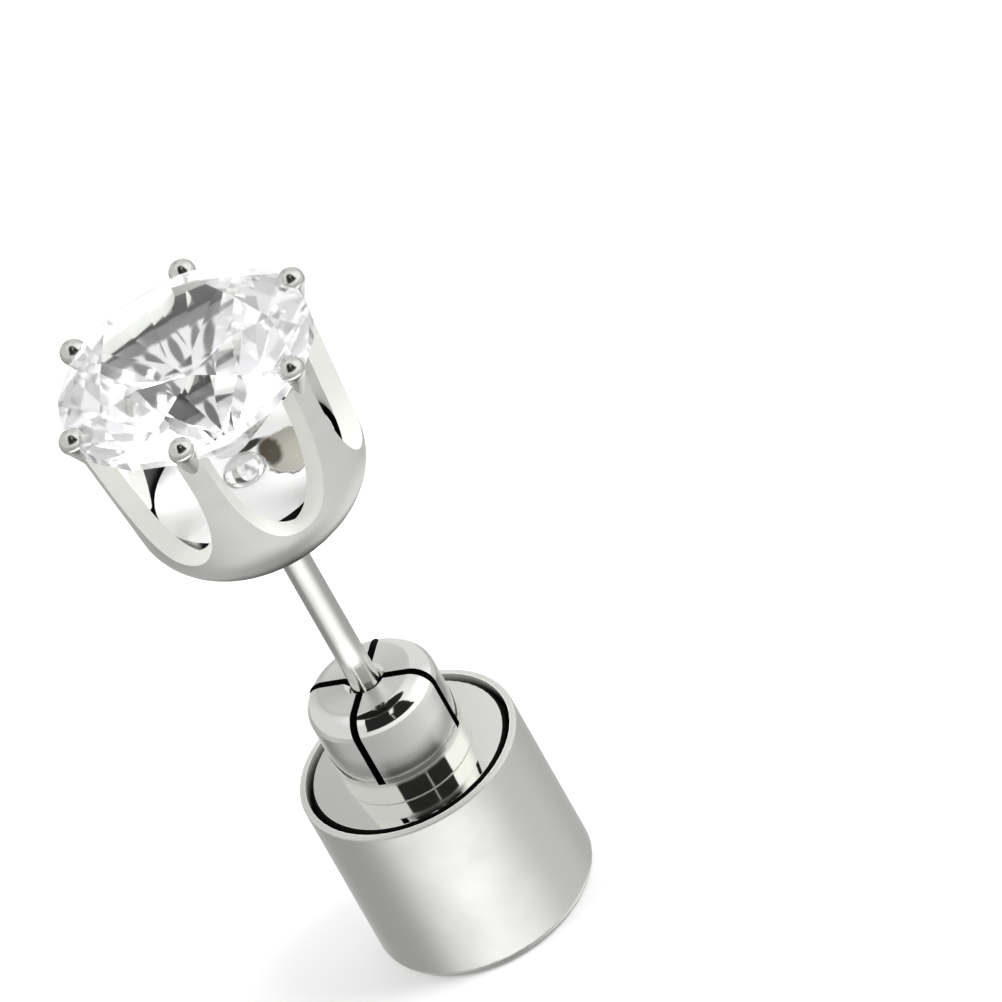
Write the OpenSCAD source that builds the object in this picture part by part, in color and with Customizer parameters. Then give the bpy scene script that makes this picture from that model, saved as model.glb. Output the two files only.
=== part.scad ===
// Light-up stud earring: a six-prong basket with a round stone and a small light,
// on a straight ear post that plugs into the split collet of a round battery case.
// Millimetres. The origin is the centre of the case's flat end and +Z points to the stone.

/* [Case] */
// Outside diameter of the case
case_d = 7.0; // [6.8:0.1:7.6]
// Height of the case from its flat end to its rim
case_h = 6.05; // [5.8:0.05:7.0]
// Diameter of the case's mouth, round the disc
mouth_d = 6.58; // [6.5:0.02:6.64]
// Diameter of the chamber for the button cells
chamber_d = 5.9; // [5.6:0.1:6.0]
// Thickness of the closed end
case_end_t = 0.4; // [0.3:0.05:0.6]
// Rounding of the outer edge at the closed end
case_foot_round = 0.3; // [0.1:0.05:0.4]
// Rounding of the outer edge at the rim
case_rim_round = 0.08; // [0.04:0.02:0.12]

/* [Chuck] */
// Diameter of the disc that closes the case
disc_d = 6.24; // [6.1:0.02:6.3]
// Thickness of the disc
disc_t = 0.8; // [0.6:0.1:1.0]
// How far the disc's face lies below the rim
disc_sink = 0.04; // [0.02:0.02:0.3]
// Diameter of the collet
collet_d = 4.1; // [3.6:0.1:4.4]
// Height of the collet above the disc
collet_h = 3.3; // [2.8:0.1:3.6]
// Rounding of the collet's top edge
collet_round = 0.65; // [0.3:0.05:0.7]
// Diameter of the collet's bore
bore_d = 0.96; // [0.94:0.01:1.0]
// Diameter of the countersink at the mouth of the bore
sink_d = 1.3; // [1.1:0.1:1.6]
// Depth of that countersink
sink_depth = 0.15; // [0.1:0.05:0.3]
// Width of the slots between the jaws
slot_w = 0.24; // [0.12:0.02:0.3]
// Depth of the slots from the collet's top
slot_depth = 2.45; // [2.0:0.05:2.6]
// Turn of the first slot about the axis, in degrees
slot_turn = -32; // [-45:1:45]

/* [Post] */
// Diameter of the ear post
post_d = 0.9; // [0.8:0.02:0.92]
// Bare length of the post between the collet and the basket
post_bare = 6.8; // [6:0.05:9]
// Diameter at the end of the tapered tip
post_tip_d = 0.7; // [0.5:0.05:0.8]
// Diameter of the spigot that passes through the basket's floor
spigot_d = 0.56; // [0.4:0.02:0.58]

/* [Setting] */
// Radius of the flat underside of the basket
bowl_flat_r = 1.75; // [1.7:0.05:2.1]
// Outer radius of the bend from the underside to the wall
bowl_bend_r = 1.9; // [1.8:0.05:2.0]
// Lean of the wall, outwards from upright, in degrees
wall_lean = 5; // [3:0.5:7]
// Thickness of the basket's wall
wall_t = 0.6; // [0.4:0.05:0.65]
// Height of the arches' lowest point above the underside
arch_h = 1.8; // [1.5:0.1:2.2]
// Height over which the arches widen from there
arch_rise = 3.4; // [2.5:0.1:3.6]
// Fullness of the arches' lower corners, 2 for an ellipse
arch_full = 2.3; // [2:0.1:2.6]
// Width of a prong
prong_w = 0.76; // [0.6:0.02:0.9]
// Diameter of the rounded prong ends
prong_end_d = 0.84; // [0.8:0.02:0.9]
// Length of the taper under them
prong_end_taper = 1.25; // [1.0:0.05:1.4]
// Diameter at the foot of that taper
prong_end_foot = 0.48; // [0.4:0.02:0.5]
// Distance of the prong ends' centres from the axis
prong_end_at = 4.0; // [3.95:0.05:4.1]
// Turn of the first prong about the axis, in degrees
prong_turn = 11; // [0:1:59]

/* [Stone] */
// Diameter of the stone
stone_d = 8.0; // [7.8:0.05:8.1]
// Height of the girdle's middle above the basket's underside
girdle_h = 6.35; // [6.25:0.05:6.5]
// Thickness of the girdle
girdle_t = 0.24; // [0.16:0.02:0.3]
// Width of the table as a share of the stone's diameter
table_share = 0.56; // [0.52:0.01:0.62]
// Slope of the crown's main facets in degrees
crown_slope = 34; // [30:0.5:36]
// Slope of the pavilion's main facets in degrees
pavilion_slope = 41; // [39:0.5:42]

/* [Light] */
// Diameter of the plate that carries the light
plate_d = 5.8; // [5.2:0.1:5.8]
// Thickness of the plate
plate_t = 0.4; // [0.3:0.05:0.5]
// Height of the plate's face above the basket's underside
plate_h = 2.0; // [1.8:0.05:2.1]
// Diameter of the stem under the plate
stem_d = 2.4; // [1.5:0.1:3.0]
// Diameter of the light's dome
dome_d = 1.4; // [1.2:0.05:1.5]
// Height of the dome
dome_h = 0.5; // [0.4:0.05:0.6]

/* [Hidden] */
$fn = 96;

// Gap between faces that lie on each other
seat_gap = 0.02;
// Overlap that makes cuts clean
cut = 0.5;

// Case and chuck
disc_top = case_h - disc_sink;
disc_low = disc_top - disc_t;
shoulder_z = disc_low - seat_gap;
disc_edge_round = 0.1;
collet_top = disc_top + collet_h;
bore_mouth = collet_top - sink_depth;
slots = 4;
slot_low = collet_top - slot_depth;
bore_low = slot_low - 0.45;

// Post
bowl_z = collet_top + post_bare;
tip_z = bore_low + seat_gap;
taper_top = collet_top - 0.05;
tip_round_h = 0.12;
tip_end_r = 0.6 * post_tip_d / 2;

// Setting
prongs = 6;
prong_step = 360 / prongs;
prong_top = girdle_h + 0.28;
bend_centre = [bowl_flat_r, bowl_bend_r];
arch_r = bowl_flat_r + bowl_bend_r;
cove_w = arch_r * sin(prong_step / 2) - prong_w / 2;
cove_steps = 24;
taper_lean = 18;
// How far the wall laps the bend, so that the two join cleanly
bend_lap = 0.002;
spigot_hole_d = spigot_d + 0.04;

// Stone
stone_r = stone_d / 2;
stone_z = bowl_z + girdle_h;
mains = 8;
main_step = 360 / mains;
rim_points = 2 * mains;
rim_r = stone_r / cos(180 / rim_points);
table_r = table_share * stone_r;
star_share = 0.5;
star_r = table_r * cos(main_step / 2) * (1 - star_share) + rim_r * star_share;
star_h = (rim_r - star_r * cos(main_step / 2)) * tan(crown_slope);
table_h = (rim_r - table_r) * tan(crown_slope);
half_share = 0.77;
half_r = rim_r * (1 - half_share);
half_h = (rim_r - half_r * cos(main_step / 2)) * tan(pavilion_slope);
culet_h = rim_r * tan(pavilion_slope);
seat_clear = 0.05;

// Light
dome_r = (pow(dome_d / 2, 2) + pow(dome_h, 2)) / (2 * dome_h);
plate_z = bowl_z + plate_h;
dome_z = plate_z + seat_gap;

// Point on a circle about the axis
function turned(r, a, z) = [r * cos(a), r * sin(a), z];

// Half section of a turned blank, with its outer corners rounded below and above
module blank_section(r, low, high, low_round, high_round) {
    difference() {
        translate([0, low]) square([r, high - low]);
        translate([r - low_round, low + low_round]) outer_corner(low_round, -1);
        translate([r - high_round, high - high_round]) outer_corner(high_round, 1);
    }
}

// What a rounding takes off a corner: side is 1 above and -1 below
module outer_corner(round_r, side) {
    difference() {
        translate([0, side > 0 ? 0 : -2 * round_r]) square(2 * round_r);
        circle(round_r);
    }
}

// The battery case, a cup with a stepped mouth
module case() {
    color([0.78, 0.78, 0.76])
    rotate_extrude() difference() {
        blank_section(case_d / 2, 0, case_h, case_foot_round, case_rim_round);
        translate([0, case_end_t]) square([chamber_d / 2, case_h]);
        translate([0, shoulder_z]) square([mouth_d / 2, case_h]);
    }
}

// The disc in the case's mouth and the collet on it, with a blind bore and four slots
module chuck() {
    color([0.84, 0.84, 0.82])
    difference() {
        rotate_extrude() difference() {
            union() {
                blank_section(disc_d / 2, disc_low, disc_top, disc_edge_round, disc_edge_round);
                blank_section(collet_d / 2, disc_low + disc_t / 4, collet_top, disc_edge_round, collet_round);
            }
            translate([0, bore_low]) square([bore_d / 2, collet_h + cut]);
            polygon([[0, bore_mouth], [bore_d / 2, bore_mouth], [sink_d / 2, collet_top],
                [sink_d / 2, collet_top + cut], [0, collet_top + cut]]);
        }
        for (k = [0 : slots - 1])
            rotate(slot_turn + k * 360 / slots)
            translate([0, -slot_w / 2, slot_low]) cube([collet_d / 2 + cut, slot_w, slot_depth + cut]);
    }
}

// The ear post: a blunt tapered tip, the bare stretch, and a spigot into the basket's floor
module post() {
    color([0.76, 0.76, 0.75])
    rotate_extrude() polygon([
        [0, tip_z],
        [tip_end_r, tip_z],
        [post_tip_d / 2, tip_z + tip_round_h],
        [post_d / 2, taper_top],
        [post_d / 2, bowl_z - seat_gap],
        [spigot_d / 2, bowl_z - seat_gap],
        [spigot_d / 2, bowl_z + wall_t],
        [0, bowl_z + wall_t]
    ]);
}

// Half section of the basket's outer form (inset 0) or of its hollow (inset as thick as the wall)
module bowl_section(inset) {
    bend = bowl_bend_r - inset;
    foot = bend_centre + (bend - bend_lap) * [cos(wall_lean), -sin(wall_lean)];
    top = [foot.x + (prong_top - foot.y) * tan(wall_lean), prong_top];
    intersection() {
        translate(bend_centre) circle(bend);
        square(2 * arch_r);
    }
    polygon([[0, inset], [bend_centre.x, inset], foot, top, [0, top.y]]);
}

// Side of a prong's foot at a share of the way from the arch's middle to the prong
function cove_point(share) = [
    prong_w / 2 + cove_w * (1 - pow(sin(90 * share), 2 / arch_full)),
    arch_h + arch_rise * (1 - pow(cos(90 * share), 2 / arch_full))
];

// Outline of one prong with its flared foot, as seen from outside: x across, y up
module prong_outline() {
    side = [for (k = [0 : cove_steps]) cove_point(k / cove_steps)];
    polygon(concat(
        [[-prong_w / 2, prong_top + 1], [prong_w / 2, prong_top + 1]],
        [for (k = [cove_steps : -1 : 0]) side[k]],
        [[side[0].x, arch_h - 0.4], [-side[0].x, arch_h - 0.4]],
        [for (k = [0 : cove_steps]) [-side[k].x, side[k].y]]
    ));
}

// The rounded end of a prong, its top centred at the origin and +X pointing outwards
module prong_end() {
    sphere(d = prong_end_d);
    rotate([0, taper_lean, 0])
        translate([0, 0, -prong_end_taper])
        cylinder(d1 = prong_end_foot, d2 = prong_end_d - 0.02, h = prong_end_taper);
}

// Room for the stone between the prongs: its turned form, a little enlarged
module stone_room() {
    edge_r = stone_r + seat_clear;
    low = girdle_h - girdle_t / 2 - seat_clear;
    high = girdle_h + girdle_t / 2 + seat_clear;
    crown_rise = star_h / (rim_r - star_r);
    rotate_extrude() polygon([
        [0, low - edge_r * tan(pavilion_slope)],
        [edge_r, low],
        [edge_r, high],
        [table_r, high + (edge_r - table_r) * crown_rise],
        [0, high + (edge_r - table_r) * crown_rise]
    ]);
}

// The six-prong basket
module setting() {
    color([0.74, 0.74, 0.72])
    translate([0, 0, bowl_z]) difference() {
        union() {
            intersection() {
                rotate_extrude() difference() {
                    bowl_section(0);
                    bowl_section(wall_t);
                }
                union() {
                    translate([0, 0, -cut]) cylinder(r = arch_r + 1, h = arch_h + cut);
                    for (k = [0 : prongs - 1])
                        rotate([90, 0, prong_turn + 90 + k * prong_step])
                        mirror([0, 0, 1])
                        translate([0, 0, -arch_r - 2])
                        linear_extrude(arch_r + 2) prong_outline();
                }
            }
            for (k = [0 : prongs - 1])
                rotate(prong_turn + k * prong_step) translate([prong_end_at, 0, prong_top]) prong_end();
        }
        stone_room();
        translate([0, 0, -cut]) cylinder(d = spigot_hole_d, h = wall_t + 2 * cut);
    }
}

// The plate that carries the light, with the stem it stands on
module light_base() {
    color([0.88, 0.88, 0.86])
    rotate_extrude() union() {
        translate([0, bowl_z + wall_t + seat_gap]) square([stem_d / 2, plate_h - wall_t - seat_gap]);
        translate([0, plate_z - plate_t]) square([plate_d / 2, plate_t]);
    }
}

// The light's clear dome
module light() {
    color([0.95, 0.95, 0.9, 0.6])
    rotate_extrude() intersection() {
        translate([0, dome_z + dome_h - dome_r]) circle(dome_r);
        translate([0, dome_z]) square(dome_r + cut);
    }
}

// Facet corners of the stone, ring by ring from the table to the culet
function stone_points() = concat(
    [for (k = [0 : mains - 1]) turned(table_r, k * main_step, girdle_t / 2 + table_h)],
    [for (k = [0 : mains - 1]) turned(star_r, (k + 0.5) * main_step, girdle_t / 2 + star_h)],
    [for (k = [0 : rim_points - 1]) turned(rim_r, k * main_step / 2, girdle_t / 2)],
    [for (k = [0 : rim_points - 1]) turned(rim_r, k * main_step / 2, -girdle_t / 2)],
    [for (k = [0 : mains - 1]) turned(half_r, (k + 0.5) * main_step, -girdle_t / 2 - half_h)],
    [[0, 0, -girdle_t / 2 - culet_h]]
);

// Where each ring starts in the list of corners
star_at = mains;
rim_high_at = star_at + mains;
rim_low_at = rim_high_at + rim_points;
half_at = rim_low_at + rim_points;
culet_at = half_at + mains;

// Facets, with their corners clockwise as seen from outside
function stone_facets() = concat(
    [[for (k = [mains - 1 : -1 : 0]) k]],
    [for (k = [0 : mains - 1]) [k, (k + 1) % mains, star_at + k]],
    [for (k = [0 : mains - 1]) [k, star_at + k, rim_high_at + 2 * k, star_at + (k + mains - 1) % mains]],
    [for (k = [0 : mains - 1]) [star_at + k, rim_high_at + 2 * k + 1, rim_high_at + 2 * k]],
    [for (k = [0 : mains - 1])
        [star_at + k, rim_high_at + (2 * k + 2) % rim_points, rim_high_at + 2 * k + 1]],
    [for (k = [0 : rim_points - 1])
        [rim_high_at + k, rim_high_at + (k + 1) % rim_points,
         rim_low_at + (k + 1) % rim_points, rim_low_at + k]],
    [for (k = [0 : mains - 1]) [half_at + k, rim_low_at + 2 * k, rim_low_at + 2 * k + 1]],
    [for (k = [0 : mains - 1])
        [half_at + k, rim_low_at + 2 * k + 1, rim_low_at + (2 * k + 2) % rim_points]],
    [for (k = [0 : mains - 1])
        [culet_at, half_at + (k + mains - 1) % mains, rim_low_at + 2 * k, half_at + k]]
);

// The round brilliant: its facets, cut round at the girdle
module stone() {
    color([0.93, 0.94, 0.97, 0.45])
    translate([0, 0, stone_z]) intersection() {
        polyhedron(points = stone_points(), faces = stone_facets());
        translate([0, 0, -stone_r]) cylinder(r = stone_r, h = stone_d);
    }
}

case();
chuck();
post();
setting();
light_base();
light();
stone();
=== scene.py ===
"""Light-up stud earring: camera, light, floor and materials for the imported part.

Sizes and places are in millimetres in the part's own frame: +Z runs from the battery case
to the stone, and the camera looks from -Y and above. Directions in the sky are in degrees:
azimuth 0 is -Y and 90 is +X, and elevation 0 is the horizon.
"""
import math

import bpy
from mathutils import Matrix, Vector


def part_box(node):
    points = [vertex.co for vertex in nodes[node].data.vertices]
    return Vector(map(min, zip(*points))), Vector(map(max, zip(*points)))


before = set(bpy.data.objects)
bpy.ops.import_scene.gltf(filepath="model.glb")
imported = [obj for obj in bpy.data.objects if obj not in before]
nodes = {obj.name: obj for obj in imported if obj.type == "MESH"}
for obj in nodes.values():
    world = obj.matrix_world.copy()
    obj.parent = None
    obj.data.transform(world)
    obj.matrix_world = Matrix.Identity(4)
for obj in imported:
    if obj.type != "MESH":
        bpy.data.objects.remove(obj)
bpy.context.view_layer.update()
scene = bpy.context.scene

MM = 0.001

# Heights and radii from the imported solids
RIM_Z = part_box("case")[1][2] / MM
COLLET_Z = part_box("chuck")[1][2] / MM
DISC_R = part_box("chuck")[1][0] / MM
BASKET_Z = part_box("setting")[0][2] / MM
PLATE_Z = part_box("light_base")[1][2] / MM
PLATE_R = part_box("light_base")[1][0] / MM

# Sizes that no box gives, as in the part's source
MOUTH_R = 3.29
DISC_SINK = 0.04
COLLET_R = 2.05
BORE_R = 0.48
SLOT_W = 0.24
SLOT_DEPTH = 2.45
SLOT_TURNS = (-32, 58)
BOWL_FLAT_R = 1.75
BOWL_BEND_R = 1.90
WALL_TILT = math.radians(5)

DISC_Z = RIM_Z - DISC_SINK
SLOT_LOW_Z = COLLET_Z - SLOT_DEPTH

# How far past a face a mask reaches, so that the whole face is in it
SKIN = 0.004


class Graph:
    """Short calls for building a node tree."""

    def __init__(self, tree):
        self.tree = tree
        tree.nodes.clear()

    def node(self, kind, **values):
        made = self.tree.nodes.new(kind)
        for key, value in values.items():
            setattr(made, key, value)
        return made

    def put(self, socket, value):
        """Links the socket to an output, or sets it to a number, colour or vector."""
        if isinstance(value, bpy.types.NodeSocket):
            self.tree.links.new(value, socket)
        else:
            socket.default_value = value

    def math(self, operation, *values):
        made = self.node("ShaderNodeMath", operation=operation)
        for socket, value in zip(made.inputs, values):
            self.put(socket, value)
        return made.outputs[0]

    def chain(self, operation, first, others):
        for other in others:
            first = self.math(operation, first, other)
        return first

    def plus(self, first, *others):
        return self.chain("ADD", first, others)

    def times(self, first, *others):
        return self.chain("MULTIPLY", first, others)

    def minus(self, first, other):
        return self.math("SUBTRACT", first, other)

    def either(self, first, *others):
        return self.chain("MAXIMUM", first, others)

    def outside(self, mask):
        return self.math("SUBTRACT", 1.0, mask)

    def above(self, value, limit):
        return self.math("GREATER_THAN", value, limit)

    def below(self, value, limit):
        return self.math("LESS_THAN", value, limit)

    def vector(self, operation, *values):
        made = self.node("ShaderNodeVectorMath", operation=operation)
        for socket, value in zip(made.inputs, values):
            self.put(socket, value)
        return made.outputs["Value" if operation in ("DOT_PRODUCT", "LENGTH") else "Vector"]

    def scaled(self, colour, factor):
        made = self.node("ShaderNodeVectorMath", operation="SCALE")
        self.put(made.inputs[0], colour)
        self.put(made.inputs["Scale"], factor)
        return made.outputs["Vector"]

    def parts(self, where):
        """The three parts of a vector."""
        made = self.node("ShaderNodeSeparateXYZ")
        self.put(made.inputs[0], where)
        return made.outputs[0], made.outputs[1], made.outputs[2]

    def place(self):
        """The place on the surface in millimetres."""
        coords = self.node("ShaderNodeTexCoord")
        return self.scaled(coords.outputs["Object"], 1 / MM)

    def outwards(self, where):
        """The part of a vector that points away from the Z axis."""
        return self.vector("MULTIPLY", where, (1, 1, 0))

    def radius(self, where):
        return self.vector("LENGTH", self.outwards(where))

    def step(self, value, low, high):
        """0 at low, 1 at high, smooth between, whichever of the two is the larger."""
        made = self.node("ShaderNodeMapRange", interpolation_type="SMOOTHSTEP")
        self.put(made.inputs["Value"], value)
        self.put(made.inputs["From Min"], low)
        self.put(made.inputs["From Max"], high)
        return made.outputs["Result"]

    def span(self, value, low, high, soft):
        """1 between low and high, 0 outside, with edges that are soft on both sides."""
        rise = self.step(value, low - soft, low + soft)
        fall = self.step(value, high - soft, high + soft)
        return self.minus(rise, fall)

    def between(self, share, start, end):
        """The number start where share is 0, end where it is 1."""
        made = self.node("ShaderNodeMapRange")
        self.put(made.inputs["Value"], share)
        self.put(made.inputs["To Min"], start)
        self.put(made.inputs["To Max"], end)
        return made.outputs["Result"]

    def mix(self, share, start, end):
        """The colour start where share is 0, end where it is 1."""
        made = self.node("ShaderNodeMix", data_type="RGBA")
        # By number, because the colour sockets have the same names as those for numbers
        self.put(made.inputs[0], share)
        self.put(made.inputs[6], start)
        self.put(made.inputs[7], end)
        return made.outputs[2]

    def noise(self, where, scale, detail=2.0, rough=0.5):
        made = self.node("ShaderNodeTexNoise")
        self.put(made.inputs["Vector"], where)
        self.put(made.inputs["Scale"], scale)
        self.put(made.inputs["Detail"], detail)
        self.put(made.inputs["Roughness"], rough)
        return made.outputs["Fac"]

    def stretched(self, where, across, along):
        """The place scaled by one number across the Z axis and another along it."""
        return self.vector("MULTIPLY", where, (across, across, along))

    def bump(self, height, depth, strength=1.0, normal=None):
        """Relief that is depth millimetres high where height is 1."""
        made = self.node("ShaderNodeBump")
        self.put(made.inputs["Height"], height)
        self.put(made.inputs["Distance"], depth * MM)
        self.put(made.inputs["Strength"], strength)
        if normal is not None:
            self.put(made.inputs["Normal"], normal)
        return made.outputs["Normal"]

    def ramp(self, value, stops):
        """Greys between (place, grey) stops."""
        made = self.node("ShaderNodeValToRGB")
        made.color_ramp.interpolation = "LINEAR"
        points = made.color_ramp.elements
        while len(points) < len(stops):
            points.new(0.5)
        for point, (at, tone) in zip(points, stops):
            point.position = at
            point.color = (tone, tone, tone, 1)
        self.put(made.inputs["Fac"], value)
        return made.outputs["Color"]


STEEL_TINT = (0.990, 1.0, 0.955)


def grey(value, warm=0.0):
    """A near neutral colour, warmer where warm is above 0."""
    return (value * (1 + warm), value, value * (1 - 1.6 * warm), 1)


def steel(value):
    """The faintly yellow grey of stainless steel."""
    return tuple(value * share for share in STEEL_TINT) + (1,)


# Camera: TILT is its angle from straight above, and ROLL the earring's turn in the picture.
# FOCUS, on the earring's axis, shows at FOCUS_PX from the picture's top left corner.
TILT = math.radians(52.5)
ROLL = math.radians(29.841)
FOCUS = Vector((0, 0, 10))
FOCUS_PX = (354.633, 662.12)
PX_PER_MM = 33.896
IMAGE_PX = 1002
DISTANCE = 600.0
SENSOR = 36.0
CLIP_M = (0.05, 10.0)


def place_camera():
    """The camera far off, looking at the earring at the photograph's angle."""
    towards = Vector((0, -math.sin(TILT), math.cos(TILT)))
    level = Vector((1, 0, 0))
    rise = Vector((0, math.cos(TILT), math.sin(TILT)))
    right = level * math.cos(ROLL) - rise * math.sin(ROLL)
    up = level * math.sin(ROLL) + rise * math.cos(ROLL)
    # The camera aims at what the picture's centre shows
    centre = IMAGE_PX / 2
    aim = FOCUS + right * ((centre - FOCUS_PX[0]) / PX_PER_MM)
    aim = aim + up * ((FOCUS_PX[1] - centre) / PX_PER_MM)
    eye = FOCUS + towards * DISTANCE

    lens = bpy.data.cameras.new("camera")
    lens.sensor_width = SENSOR
    lens.lens = PX_PER_MM * DISTANCE * SENSOR / IMAGE_PX
    lens.clip_start, lens.clip_end = CLIP_M
    camera = bpy.data.objects.new("camera", lens)
    scene.collection.objects.link(camera)
    ahead = (aim - eye).normalized()
    side = ahead.cross(up).normalized()
    turn = Matrix((side, side.cross(ahead), -ahead)).transposed().to_4x4()
    camera.matrix_world = Matrix.Translation(eye * MM) @ turn
    scene.camera = camera


# Sky: a paper table below the horizon and a white tent with a dark opening above it.
# Each zone is a list of (azimuth, brightness), and each edge the two elevations between
# which one zone passes into the next.

# The table near the object, which the bowl of the basket mirrors
NEAR_TABLE = [(-180, 0.60), (-110, 0.56), (-60, 0.42), (-30, 0.24), (0, 0.22), (30, 0.36),
              (67, 0.80), (100, 1.10), (130, 1.20), (180, 0.60)]
FOOT_SHADE = 0.8
FOOT_EDGE = (-85, -52)
NEAR_EDGE = (-48, -42)
# The middle of the table, which upright walls mirror
MIDDLE_TABLE = [(-180, 0.90), (-140, 0.42), (-100, 0.37), (-85, 0.50), (-70, 1.00), (-60, 1.50),
                (-20, 2.75), (-5, 2.95), (15, 2.60), (30, 2.05), (50, 1.22), (60, 0.83),
                (70, 0.66), (80, 0.60), (150, 0.55), (180, 0.90)]
MIDDLE_EDGE = (-33.5, -32)
# The far part of the table, which the polished collet mirrors, with a shaded near edge
FAR_TABLE = [(-180, 1.80), (-150, 0.50), (-130, 0.46), (-100, 0.58), (-60, 0.50), (-40, 0.46),
             (-5, 0.53), (30, 0.64), (65, 0.79), (85, 0.83), (120, 0.65), (150, 0.52),
             (155, 0.67), (180, 1.80)]
SHADE_EDGE = (-32, -26)
SHADE_AZIMUTH = (-42, 50)
SHADE_SOFT = 7
SHADE_AROUND = 0.52
SHADE_IN_FRONT = 0.16
HORIZON_EDGE = (-6, 0)
# The tent, brighter at the right
TENT = [(-180, 0.60), (-172, 0.52), (-150, 0.74), (-45, 0.76), (55, 1.20), (100, 1.20),
        (125, 0.80), (172, 0.80), (180, 0.64)]
TENT_TOP = 0.95
TENT_EDGE = (46, 66)
# The opening in the tent's front and the upright bar in it
OPENING = 0.02
OPENING_AZIMUTH = (-41, 52)
OPENING_ELEVATION = (20, 80)
BAR = 0.40
BAR_AZIMUTH = (10.4, 13.0)
BAR_ELEVATION = (26, 50)
# The opening reaches on overhead between two slanted sides, and is bright at a lamp.
# Both are given by the X, Y and Z of a direction of length 1, and the sides by weights
# whose product with it is above 0 in the opening.
OVERHEAD_SIDES = [(1.0, -0.60, 0.28), (-1.0, -1.0, 0.235)]
OVERHEAD_SOFT = 0.01
OVERHEAD_Y = (0.06, 0.04)
OVERHEAD_Z = (0.58, 0.60)
LAMP_X = (0.10, 0.18)
LAMP_Y = (0, -0.05)
LAMP_ELEVATION = (55, 75)
# Light that comes through the stone: even and bright, with soft grey clouds
STONE_LIGHT = 1.01
STONE_TINT = (1.0, 1.0, 1.012)
RIPPLE = 0.06
RIPPLES_AROUND = 3
RIPPLES_UP = 5
CLOUD_SHADE = 0.55
CLOUD_SCALE = 2.4
CLOUD_EDGE = (0.47, 0.63)
# The sky lights matt surfaces more than it shows in polished ones
MATT_GAIN = 1.45


def zone(graph, azimuth, stops):
    """The brightness of a zone all round the object."""
    turned = graph.plus(graph.times(azimuth, 1 / 360), 0.5)
    return graph.ramp(turned, [(at / 360 + 0.5, brightness) for at, brightness in stops])


def table_light(graph, azimuth, elevation):
    """The three zones of the table, with a shaded edge between the last two."""
    near = zone(graph, azimuth, NEAR_TABLE)
    near = graph.mix(graph.step(elevation, *FOOT_EDGE), graph.scaled(near, FOOT_SHADE), near)
    middle = zone(graph, azimuth, MIDDLE_TABLE)
    far = zone(graph, azimuth, FAR_TABLE)
    in_front = graph.span(azimuth, *SHADE_AZIMUTH, SHADE_SOFT)
    shade = graph.between(in_front, SHADE_AROUND, SHADE_IN_FRONT)
    far = graph.mix(graph.step(elevation, *SHADE_EDGE), graph.scaled(far, shade), far)
    table = graph.mix(graph.step(elevation, *NEAR_EDGE), near, middle)
    return graph.mix(graph.step(elevation, *MIDDLE_EDGE), table, far)


def opening_mask(graph, direction, azimuth, elevation):
    """1 in the dark opening, which is wide in front and narrows overhead."""
    x, y, z = graph.parts(direction)
    front = graph.span(azimuth, *OPENING_AZIMUTH, soft=1)
    front = graph.times(front, graph.span(elevation, *OPENING_ELEVATION, soft=1.5))
    overhead = graph.times(graph.step(z, *OVERHEAD_Z), graph.step(y, *OVERHEAD_Y))
    for weights in OVERHEAD_SIDES:
        side = graph.vector("DOT_PRODUCT", direction, weights)
        overhead = graph.times(overhead, graph.step(side, -OVERHEAD_SOFT, OVERHEAD_SOFT))
    lamp = graph.times(graph.span(x, *LAMP_X, soft=0.02), graph.step(y, *LAMP_Y))
    lamp = graph.times(lamp, graph.span(elevation, *LAMP_ELEVATION, soft=4))
    return graph.times(graph.either(front, overhead), graph.outside(lamp))


def stone_light(graph, direction, azimuth, elevation):
    """What a ray meets that has passed through the stone."""
    around = graph.math("COSINE", graph.times(azimuth, math.radians(RIPPLES_AROUND)))
    up = graph.math("SINE", graph.times(elevation, math.radians(RIPPLES_UP)))
    clouds = graph.step(graph.noise(direction, CLOUD_SCALE), *CLOUD_EDGE)
    glow = graph.plus(graph.times(graph.plus(around, up), RIPPLE), STONE_LIGHT)
    glow = graph.minus(glow, graph.times(clouds, CLOUD_SHADE))
    return graph.scaled(STONE_TINT, glow)


def make_sky():
    """The world: table, tent and opening, and the stone's own light."""
    world = bpy.data.worlds.new("studio")
    scene.world = world
    world.use_nodes = True
    graph = Graph(world.node_tree)
    out = graph.node("ShaderNodeOutputWorld")
    back = graph.node("ShaderNodeBackground")
    graph.put(out.inputs["Surface"], back.outputs["Background"])
    direction = graph.node("ShaderNodeTexCoord").outputs["Generated"]
    x, y, z = graph.parts(direction)
    azimuth = graph.math("DEGREES", graph.math("ARCTAN2", x, graph.times(y, -1)))
    elevation = graph.math("DEGREES", graph.math("ARCSINE", z))

    table = table_light(graph, azimuth, elevation)
    tent = graph.mix(graph.step(elevation, *TENT_EDGE), zone(graph, azimuth, TENT), grey(TENT_TOP))
    sky = graph.mix(graph.step(elevation, *HORIZON_EDGE), table, tent)
    opening = opening_mask(graph, direction, azimuth, elevation)
    bar = graph.span(azimuth, *BAR_AZIMUTH, soft=1.2)
    bar = graph.times(bar, graph.span(elevation, *BAR_ELEVATION, soft=1))
    sky = graph.mix(opening, sky, graph.mix(bar, grey(OPENING), grey(BAR)))
    rays = graph.node("ShaderNodeLightPath").outputs
    through = stone_light(graph, direction, azimuth, elevation)
    sky = graph.mix(rays["Is Transmission Ray"], sky, through)
    graph.put(back.inputs["Color"], sky)
    graph.put(back.inputs["Strength"], graph.between(rays["Is Diffuse Ray"], 1.0, MATT_GAIN))


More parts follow.
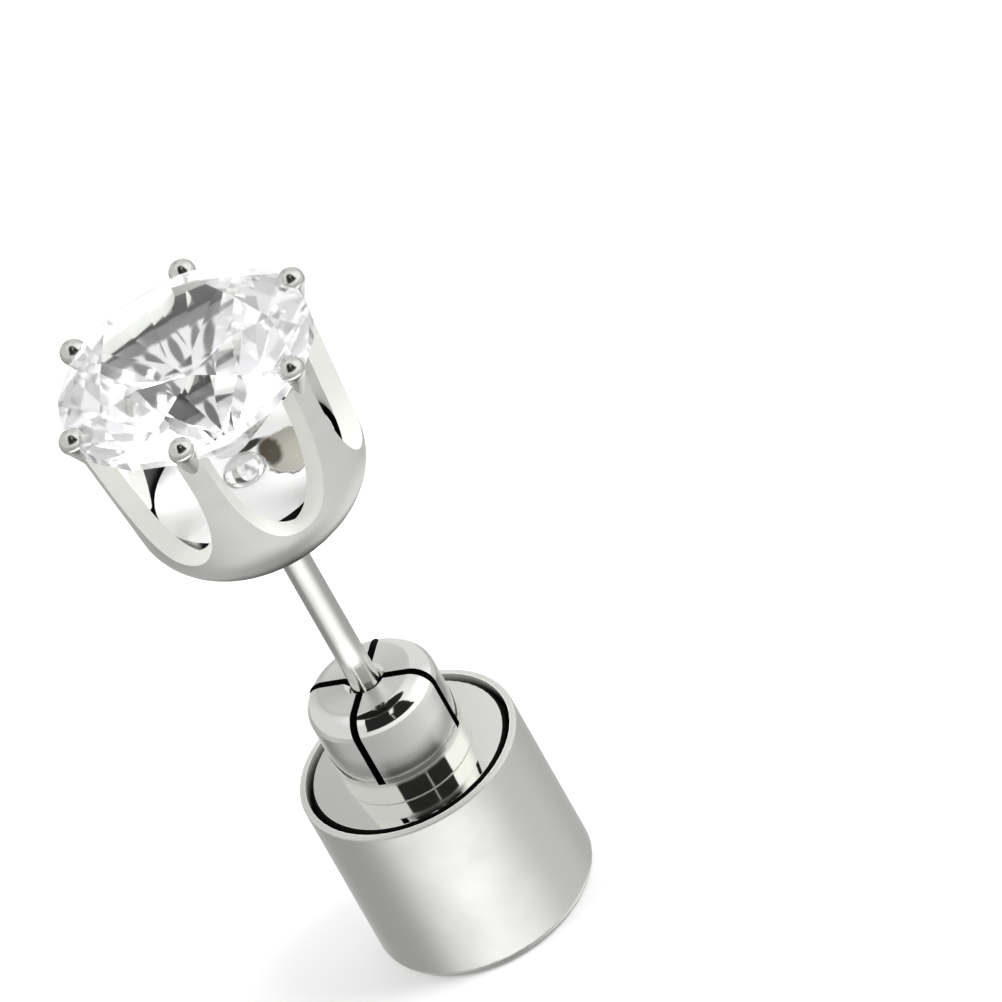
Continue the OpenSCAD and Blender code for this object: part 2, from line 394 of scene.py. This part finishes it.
# Two soft boxes light the matt surfaces and the floor. Places and sizes are in metres,
# the power in watts.
SOFT_BOXES = {
    "softbox_right": {"place": (0.45, -0.10, 0.55), "size": (0.35, 0.35), "power": 3.0},
    "softbox_left": {"place": (-0.50, 0.05, 0.60), "size": (0.40, 0.30), "power": 2.0},
}
LIT_PLACE = Vector((0, 0, 0.01))


def make_softbox(name, place, size, power):
    """A lamp that faces the earring and doesn't show in polished steel."""
    lamp = bpy.data.lights.new(name, "AREA")
    lamp.shape = "RECTANGLE"
    lamp.size, lamp.size_y = size
    lamp.energy = power
    made = bpy.data.objects.new(name, lamp)
    made.location = place
    made.rotation_euler = (LIT_PLACE - Vector(place)).to_track_quat("-Z", "Y").to_euler()
    made.visible_glossy = False
    scene.collection.objects.link(made)


def surface(name):
    """A new material with its graph and its shader."""
    material = bpy.data.materials.new(name)
    material.use_nodes = True
    graph = Graph(material.node_tree)
    out = graph.node("ShaderNodeOutputMaterial")
    shader = graph.node("ShaderNodeBsdfPrincipled")
    graph.put(out.inputs["Surface"], shader.outputs["BSDF"])
    return material, graph, shader


# Floor: half its width, in metres
FLOOR_HALF = 1.5


def make_floor():
    """The floor, large, plain and pale."""
    mesh = bpy.data.meshes.new("floor")
    half = FLOOR_HALF
    corners = [(-half, -half, 0), (half, -half, 0), (half, half, 0), (-half, half, 0)]
    mesh.from_pydata(corners, [], [(0, 1, 2, 3)])
    floor = bpy.data.objects.new("floor", mesh)
    scene.collection.objects.link(floor)
    material, graph, shader = surface("floor_paper")
    tone = graph.noise(graph.place(), scale=0.05, detail=3.0)
    graph.put(shader.inputs["Base Color"], graph.mix(tone, grey(0.90), grey(0.94)))
    graph.put(shader.inputs["Roughness"], 0.9)
    graph.put(shader.inputs["Specular IOR Level"], 0.1)
    mesh.materials.append(material)
    # Polished steel mirrors the sky's table instead of the floor
    floor.visible_glossy = False


def turn_marks(graph, shader, strength):
    """Stretches reflections along Z, as the fine grooves of turning do."""
    graph.put(shader.inputs["Anisotropic"], strength)
    graph.put(shader.inputs["Anisotropic Rotation"], 0.25)
    tangent = graph.node("ShaderNodeTangent", direction_type="RADIAL", axis="Z")
    graph.put(shader.inputs["Tangent"], tangent.outputs["Tangent"])


def turned_steel():
    """Satin steel of the case, turned, with a duller rim and painted shade deep in its mouth."""
    rim_z = RIM_Z - 0.03
    mouth_r = MOUTH_R + 0.02
    mouth_shade_z = (RIM_Z - 0.06, RIM_Z - 0.50)
    lip_slope = 0.36
    dull_rough = 0.72
    dull_metallic, mouth_metallic = 0.62, 0.12
    material, graph, shader = surface("case_steel")
    place = graph.place()
    z = graph.parts(place)[2]
    radius = graph.radius(place)
    along_z = graph.stretched(place, across=0.4, along=26)
    grooves = graph.noise(along_z, scale=1.0, detail=3.0, rough=0.6)
    patches = graph.noise(place, scale=0.7, detail=3.0, rough=0.55)
    on_rim = graph.above(z, rim_z)
    in_mouth = graph.below(radius, mouth_r)
    metal = graph.mix(grooves, steel(0.70), steel(0.80))
    metal = graph.mix(graph.times(patches, 0.35), metal, steel(0.66))
    # Painted shade: the mouth's wall is near black below its top
    painted_shade = graph.times(in_mouth, graph.step(z, *mouth_shade_z))
    graph.put(shader.inputs["Base Color"], graph.mix(painted_shade, metal, grey(0.02)))
    dull = graph.either(on_rim, in_mouth)
    rough = graph.plus(graph.between(patches, 0.27, 0.36), graph.between(grooves, -0.03, 0.03))
    graph.put(shader.inputs["Roughness"], graph.either(rough, graph.times(dull, dull_rough)))
    duller = graph.between(in_mouth, dull_metallic, mouth_metallic)
    graph.put(shader.inputs["Metallic"], graph.between(dull, 1.0, duller))
    turn_marks(graph, shader, strength=0.5)
    # The rim falls a little towards its outside
    lip = graph.times(on_rim, graph.minus(radius, MOUTH_R), -lip_slope)
    relief = graph.bump(lip, depth=1)
    relief = graph.bump(grooves, depth=0.0012, strength=0.5, normal=relief)
    graph.put(shader.inputs["Normal"], relief)
    return material


def mirror_steel():
    """Polished steel of the disc and collet, with painted shade in the saw cuts, the bore and on
    the disc's edge.
    """
    edge_r = DISC_R - 0.09
    edge_z = DISC_Z - 0.002
    bore_z = DISC_Z + 0.05
    slot_half = SLOT_W / 2 + 0.001
    neck_low, neck_full, neck_high = DISC_Z + 0.82, DISC_Z + 1.09, DISC_Z + 1.44
    neck_x = (-0.95, 1.05)
    blur_r = COLLET_R + 0.15
    blur_z = (DISC_Z + 0.71, DISC_Z + 0.99)
    corner_low_r, corner_high_r = COLLET_R - 0.02, COLLET_R + 0.03
    corner_z = DISC_Z + 0.035
    draft_z = DISC_Z + 1.01
    draft_slope = math.tan(math.radians(3))
    draft_bend = 0.0295
    dome_bend = 0.014
    material, graph, shader = surface("chuck_steel")
    place = graph.place()
    x, y, z = graph.parts(place)
    radius = graph.radius(place)
    haze = graph.noise(place, scale=0.9, detail=4.0, rough=0.6)
    marks = graph.noise(graph.stretched(place, across=0.5, along=30), scale=1.0)

    # Painted shade in the bore, on the disc's edge and in the saw cuts
    in_bore = graph.times(graph.below(radius, BORE_R + SKIN), graph.above(z, bore_z))
    on_edge = graph.times(graph.above(radius, edge_r), graph.below(z, edge_z))
    painted_shade = graph.either(on_edge, in_bore)
    for turn in SLOT_TURNS:
        across = (-math.sin(math.radians(turn)), math.cos(math.radians(turn)), 0)
        off = graph.math("ABSOLUTE", graph.vector("DOT_PRODUCT", place, across))
        in_slot = graph.times(graph.below(off, slot_half), graph.above(z, SLOT_LOW_Z - SKIN))
        painted_shade = graph.either(painted_shade, in_slot)

    # Painted dark reflection: the collet's neck is darker in front, above where it meets the disc
    neck_reflection = graph.times(graph.step(z, neck_high, neck_full), graph.above(z, neck_low))
    neck_reflection = graph.times(neck_reflection, graph.span(x, *neck_x, soft=0.14), graph.below(y, 0))
    on_top = graph.above(z, COLLET_Z - SKIN)
    metal = graph.mix(haze, steel(0.85), steel(0.90))
    metal = graph.mix(graph.times(neck_reflection, 0.60), metal, steel(0.12))
    metal = graph.mix(on_top, metal, steel(0.62))
    graph.put(shader.inputs["Base Color"], graph.mix(painted_shade, metal, grey(0.012)))

    corner = graph.times(graph.above(radius, corner_low_r), graph.below(radius, corner_high_r))
    corner = graph.times(corner, graph.below(z, corner_z))
    blur = graph.times(graph.span(z, *blur_z, soft=0.10), graph.below(radius, blur_r))
    rough = graph.plus(graph.between(haze, 0.04, 0.09), graph.between(marks, -0.01, 0.01))
    for mask, dulling in ((corner, 0.40), (blur, 0.26), (on_top, 0.24)):
        rough = graph.plus(rough, graph.times(mask, dulling))
    graph.put(shader.inputs["Roughness"], graph.either(rough, graph.times(painted_shade, 0.7)))
    graph.put(shader.inputs["Metallic"], graph.between(on_top, 1.0, 0.62))
    turn_marks(graph, shader, strength=0.3)

    # The collet narrows a hair towards its top, and the disc is a hair domed
    over = graph.either(graph.minus(z, draft_z), 0)
    bend = graph.math("MINIMUM", over, 1)
    draft = graph.times(bend, graph.minus(graph.times(over, 2), bend), draft_bend)
    draft = graph.plus(draft, graph.times(over, draft_slope))
    dome = graph.times(radius, radius, graph.below(z, DISC_Z + 0.01), dome_bend)
    relief = graph.bump(graph.times(graph.plus(draft, dome), -1), depth=1)
    relief = graph.bump(haze, depth=0.004, strength=0.4, normal=relief)
    graph.put(shader.inputs["Normal"], relief)
    return material


def drawn_steel():
    """Polished wire of the post, with faint marks along it, and painted light that makes it
    brighter near the collet.
    """
    painted_light_z = (COLLET_Z + 2.2, COLLET_Z + 0.4)
    material, graph, shader = surface("post_steel")
    place = graph.place()
    marks = graph.noise(graph.stretched(place, across=16, along=0.5), scale=1.0, detail=3.0)
    haze = graph.noise(place, scale=1.2)
    wire = graph.mix(marks, steel(0.54), steel(0.64))
    # Painted light: the wire is brighter near the collet
    painted_light = graph.step(graph.parts(place)[2], *painted_light_z)
    graph.put(shader.inputs["Base Color"], graph.mix(painted_light, wire, steel(0.90)))
    graph.put(shader.inputs["Roughness"], graph.between(haze, 0.22, 0.30))
    graph.put(shader.inputs["Metallic"], 1.0)
    graph.put(shader.inputs["Normal"], graph.bump(marks, depth=0.001, strength=0.4))
    return material


# The left of the basket's front, where its inside is lit
LIT_X = (-2.15, -2.35)
LIT_Y = (0.2, 0)


def away_from_lit(graph, x, y):
    """0 on the left of the basket's front, 1 elsewhere."""
    return graph.outside(graph.times(graph.step(y, *LIT_Y), graph.step(x, *LIT_X)))


def basket_steel():
    """Satin outside, with polished prong ends and dull cut edges, and painted shade inside and
    under the bowl.
    """
    wall_foot_z = BASKET_Z + BOWL_BEND_R * (1 - math.sin(WALL_TILT))
    wall_foot_r = BOWL_FLAT_R + BOWL_BEND_R * math.cos(WALL_TILT)
    wall_slope = math.tan(WALL_TILT)
    end_z = (BASKET_Z + 6.10, BASKET_Z + 6.30)
    satin_top_z = (BASKET_Z + 6.45, BASKET_Z + 6.28)
    # How high the painted shade inside reaches, and how much higher in two places at the back
    dark_z = (PLATE_Z + 0.14, PLATE_Z + 0.08)
    corner_x, corner_y, corner_rise = (0.3, 1.35), 2.0, 1.6
    left_x, left_y, left_rise = (-1.6, -2.0), (0.2, 0.6), 0.55
    dark_back_y = (0.6, 1.4)
    # Edges of masks by how far a face looks away from the axis, or down
    outward, sideways, inward = (0.80, 0.93), (-0.1, 0.1), (-0.6, -0.9)
    down, foot_down, up = (0.25, 0.45), (0.42, 0.74), (-0.15, -0.60)
    material, graph, shader = surface("setting_steel")
    place = graph.place()
    x, y, z = graph.parts(place)
    normal = graph.node("ShaderNodeTexCoord").outputs["Normal"]
    facing = graph.vector("DOT_PRODUCT", normal, graph.vector("NORMALIZE", graph.outwards(place)))
    downward = graph.times(graph.parts(normal)[2], -1)

    # The satin outside: what faces out or down, and the prongs' sides outside the wall
    wall_r = graph.plus(graph.times(graph.minus(z, wall_foot_z), wall_slope), wall_foot_r)
    prong = graph.times(graph.above(graph.radius(place), wall_r), graph.step(facing, *sideways))
    outer = graph.either(graph.step(facing, *outward), graph.step(downward, *down), prong)
    outer = graph.times(outer, graph.step(z, *satin_top_z))
    # The inside, with its painted shade
    hollow = graph.step(facing, *inward)
    corner = graph.times(graph.above(y, corner_y), graph.span(x, *corner_x, soft=0.2))
    left = graph.times(graph.step(y, *left_y), graph.step(x, *left_x))
    rise = graph.plus(graph.times(corner, corner_rise), graph.times(left, left_rise))
    painted_shade = graph.step(graph.minus(z, rise), *dark_z)
    painted_shade = graph.times(hollow, painted_shade, away_from_lit(graph, x, y))
    # Painted shade on faces that look down, under the bowl
    underside_shade = graph.step(downward, *foot_down)
    end = graph.step(z, *end_z)

    grain = graph.noise(place, scale=22, detail=3.0, rough=0.7)
    patches = graph.noise(place, scale=0.8, detail=3.0)
    satin = graph.mix(grain, steel(0.72), steel(0.82))
    satin = graph.mix(graph.times(patches, 0.3), satin, steel(0.68))
    satin = graph.mix(underside_shade, satin, steel(0.03))
    bright = graph.mix(patches, steel(0.93), steel(0.98))
    bright = graph.mix(end, bright, steel(0.72))
    bright = graph.mix(hollow, bright, steel(0.80))
    shadow = graph.mix(graph.step(y, *dark_back_y), grey(0.02), grey(0.14))
    bright = graph.mix(painted_shade, bright, shadow)
    graph.put(shader.inputs["Base Color"], graph.mix(outer, bright, satin))

    satin_rough = graph.between(grain, 0.40, 0.50)
    bright_rough = graph.minus(graph.between(patches, 0.60, 0.70), graph.times(hollow, 0.12))
    bright_rough = graph.times(bright_rough, graph.between(end, 1.0, 0.28))
    graph.put(shader.inputs["Roughness"], graph.between(outer, bright_rough, satin_rough))
    # Cut faces are matt, most of all where they look up
    cut_face = graph.outside(graph.either(outer, hollow, end))
    cut_metallic = graph.between(graph.step(downward, *up), 0.80, 0.42)
    graph.put(shader.inputs["Metallic"], graph.between(cut_face, 1.0, cut_metallic))
    relief = graph.bump(graph.times(grain, outer), depth=0.003, strength=0.5)
    graph.put(shader.inputs["Normal"], relief)
    return material


def pale_plastic():
    """Glossy pale plate under the light, with marks beside and behind the light, and painted
    shadow at its back and on its edge.
    """
    edge_depth = 0.015
    beige, brown = (0.41, 0.40, 0.345, 1), (0.075, 0.058, 0.042, 1)
    black, dark_grey = (0.030, 0.028, 0.022, 1), (0.14, 0.14, 0.135, 1)
    beige_edge_y = (-0.2, -0.7)
    rear_x, rear_y = (-0.9, -0.3), (2.26, 2.40)
    material, graph, shader = surface("light_base_white")
    place = graph.place()
    x, y, z = graph.parts(place)
    speck = graph.noise(place, scale=3.0, detail=3.0)
    uneven = graph.noise(place, scale=2.6, detail=3.0, rough=0.6)
    ragged = graph.times(graph.minus(uneven, 0.5), 0.9)

    def mark(centre, half, soft=0.12):
        """1 inside a ragged oval on the plate, given by its centre and half its size."""
        across = graph.times(graph.minus(x, centre[0]), 1 / half[0])
        along = graph.times(graph.minus(y, centre[1]), 1 / half[1])
        away = graph.plus(graph.times(across, across), graph.times(along, along), ragged)
        return graph.step(away, 1 + soft, 1 - soft)

    colour = graph.mix(speck, grey(0.95, 0.004), grey(0.98, 0.003))
    # A beige mark at the light's right, with a dark edge in front
    in_beige = mark((1.48, -0.12), (0.78, 1.06))
    on_rim = graph.minus(mark((1.48, -0.14), (0.86, 1.14)), in_beige)
    on_rim = graph.times(on_rim, graph.step(y, *beige_edge_y))
    colour = graph.mix(on_rim, colour, grey(0.10, 0.03))
    colour = graph.mix(in_beige, colour, beige)
    # Dark marks between it and the light, behind the light and far behind it
    colour = graph.mix(mark((0.92, 0.26), (0.34, 0.72), soft=0.5), colour, brown)
    colour = graph.mix(mark((0.40, 1.00), (0.52, 0.20), soft=0.4), colour, black)
    colour = graph.mix(mark((0.00, 1.70), (0.15, 0.70), soft=0.4), colour, dark_grey)
    # Painted shadow: the plate is darker along its back
    rear_shadow = graph.step(graph.plus(y, graph.times(ragged, 0.3)), *rear_y)
    rear_shadow = graph.times(rear_shadow, graph.between(graph.step(x, *rear_x), 0.30, 1.0))
    colour = graph.mix(rear_shadow, colour, grey(0.17))
    # Painted shade: the plate's edge stays dark, as the narrow gap round it does in the photograph
    on_edge = graph.above(graph.radius(place), PLATE_R - edge_depth)
    on_edge = graph.times(on_edge, graph.below(z, PLATE_Z - edge_depth))
    on_edge = graph.times(on_edge, away_from_lit(graph, x, y))
    graph.put(shader.inputs["Base Color"], graph.mix(on_edge, colour, grey(0.02)))
    graph.put(shader.inputs["Roughness"], graph.between(speck, 0.18, 0.32))
    graph.put(shader.inputs["Normal"], graph.bump(speck, depth=0.01, strength=0.2))
    return material


def clear_dome():
    """Clear moulded dome of the light, with a faint ripple."""
    material, graph, shader = surface("light_clear")
    ripple = graph.noise(graph.place(), scale=2.0)
    graph.put(shader.inputs["Base Color"], graph.mix(ripple, grey(0.96, 0.01), grey(0.99)))
    graph.put(shader.inputs["Roughness"], graph.between(ripple, 0.02, 0.08))
    graph.put(shader.inputs["Transmission Weight"], 1.0)
    graph.put(shader.inputs["IOR"], 1.5)
    return material


def cut_stone():
    """Clear polished stone, with a trace of haze in its polish."""
    material, graph, shader = surface("stone_clear")
    haze = graph.noise(graph.place(), scale=0.9, detail=3.0)
    tint = graph.mix(haze, (0.985, 0.990, 1.000, 1), grey(1))
    graph.put(shader.inputs["Base Color"], tint)
    graph.put(shader.inputs["Roughness"], graph.between(haze, 0.03, 0.07))
    graph.put(shader.inputs["Transmission Weight"], 1.0)
    graph.put(shader.inputs["IOR"], 1.76)
    return material


MATERIALS = {
    "case": turned_steel,
    "chuck": mirror_steel,
    "post": drawn_steel,
    "setting": basket_steel,
    "light_base": pale_plastic,
    "light": clear_dome,
    "stone": cut_stone,
}


def dress(name, material):
    """Gives a CAD node its material."""
    mesh = nodes[name].data
    if not mesh.materials:
        mesh.materials.append(material)
    for slot in nodes[name].material_slots:
        slot.material = material


# Enough bounces for light to find its way out of the cut stone
BOUNCES = 20

scene.view_settings.view_transform = "Standard"
scene.view_settings.look = "None"
scene.cycles.max_bounces = BOUNCES
scene.cycles.glossy_bounces = BOUNCES
scene.cycles.transmission_bounces = BOUNCES
place_camera()
make_sky()
for name, box in SOFT_BOXES.items():
    make_softbox(name, **box)
make_floor()
for name, make_material in MATERIALS.items():
    dress(name, make_material())

bpy.context.view_layer.update()
